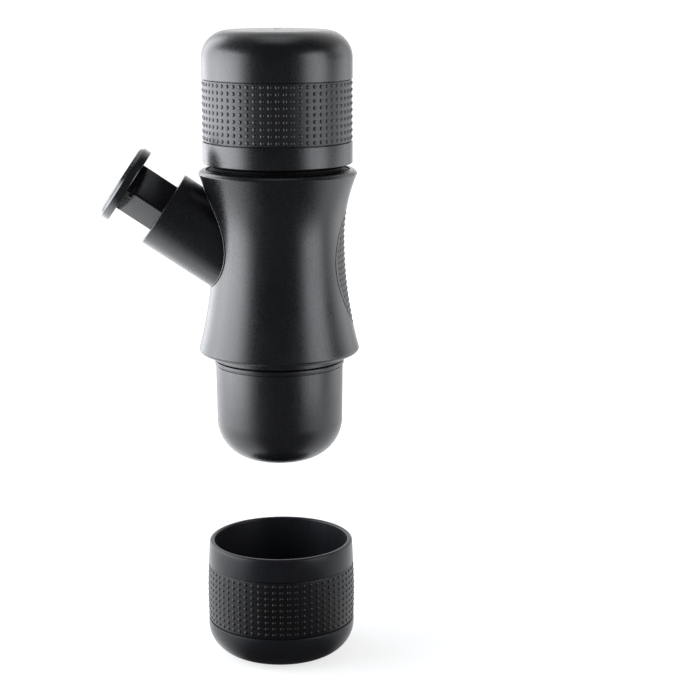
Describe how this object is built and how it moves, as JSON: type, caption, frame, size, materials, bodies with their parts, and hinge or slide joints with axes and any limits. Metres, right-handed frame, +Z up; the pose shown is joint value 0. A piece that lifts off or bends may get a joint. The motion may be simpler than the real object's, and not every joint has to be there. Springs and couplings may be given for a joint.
{
  "type": "handheld manual espresso maker",
  "caption": "Handheld manual espresso maker: waisted casing, screw-on water tank and outlet head, sprung pump knob on a slanted arm, and a loose cup.",
  "frame": {"origin": "centre of the cup base, on the surface that the cup stands on; the machine is held above it on the same axis", "axes": "+Z up along the machine axis, -X towards the pump arm"},
  "size_m": [0.1022, 0.0638, 0.2532],
  "materials": {
    "casing_plastic": "satin charcoal, fine moulded texture",
    "cup_plastic": "satin black",
    "grip_rubber": "matte black with raised dots",
    "silicone": "translucent grey silicone",
    "seal_rubber": "black seal rubber",
    "pump_plastic": "glass-filled dark grey",
    "stem_plastic": "satin black",
    "steel_sheet": "pressed stainless steel",
    "screw_steel": "zinc-plated",
    "spring_steel": "drawn wire"
  },
  "bodies": {
    "machine": {"main_shell": "casing_plastic", "side_grip_pad": "grip_rubber", "tank_socket": "pump_plastic", "intake_tube": "silicone", "inlet_valve": "silicone", "valve_block": "pump_plastic", "outlet_valve": "silicone", "pump_gasket": "seal_rubber", "pump_cylinder": "pump_plastic", "pump_screws": "screw_steel", "mouth_bush": "pump_plastic", "return_spring": "spring_steel", "brew_boss": "casing_plastic", "collar_screws": "screw_steel", "block_screws": "screw_steel", "shower_screen": "steel_sheet"},
    "tank_seal_ring": {"tank_seal": "seal_rubber"},
    "tank": {"water_tank": "casing_plastic", "tank_grip_band": "grip_rubber", "air_vent_valve": "seal_rubber"},
    "basket": {"filter_basket": "steel_sheet", "basket_gasket": "seal_rubber"},
    "head": {"outlet_head": "casing_plastic", "outlet_nozzle": "pump_plastic"},
    "piston": {"piston_head": "pump_plastic", "piston_o_ring": "seal_rubber"},
    "knob": {"piston_stem": "stem_plastic", "stem_clip": "spring_steel", "push_knob": "casing_plastic", "knob_cap": "casing_plastic", "knob_screw": "screw_steel"},
    "cup": {"cup_shell": "cup_plastic", "cup_grip_band": "grip_rubber"}
  },
  "joints": [
    {"name": "tank_rise", "type": "slide", "parent": "machine", "child": "tank_seal_ring", "axis": [0, 0, 1], "range_m": [0, 0.0121]},
    {"name": "tank_unscrew", "type": "hinge", "parent": "tank_seal_ring", "child": "tank", "pos_m": [0, 0, 0.2016], "axis": [0, 0, 1], "range_deg": [0, 360]},
    {"name": "basket_drop", "type": "slide", "parent": "machine", "child": "basket", "axis": [0, 0, -1], "range_m": [0, 0.0121]},
    {"name": "head_unscrew", "type": "hinge", "parent": "basket", "child": "head", "pos_m": [0, 0, 0.1231], "axis": [0, 0, -1], "range_deg": [0, 360]},
    {"name": "piston_push", "type": "slide", "parent": "machine", "child": "piston", "axis": [0.83, 0, -0.5577], "range_m": [0, 0.0153], "stiffness_N_per_m": 400, "springref_m": -0.01, "deforming": ["return_spring"]},
    {"name": "knob_twist", "type": "hinge", "parent": "piston", "child": "knob", "pos_m": [0, 0, 0.1534], "axis": [-0.83, 0, 0.5577], "range_deg": [0, 45]},
    {"name": "cup_fit", "type": "slide", "parent": "machine", "child": "cup", "axis": [0, 0, -1], "range_m": [-0.0784, 0]}
  ],
  "couplings": [
    {"joint": "tank_rise", "follows": "tank_unscrew", "m_per_rad": 0.0019099},
    {"joint": "basket_drop", "follows": "head_unscrew", "m_per_rad": 0.0019099}
  ]
}
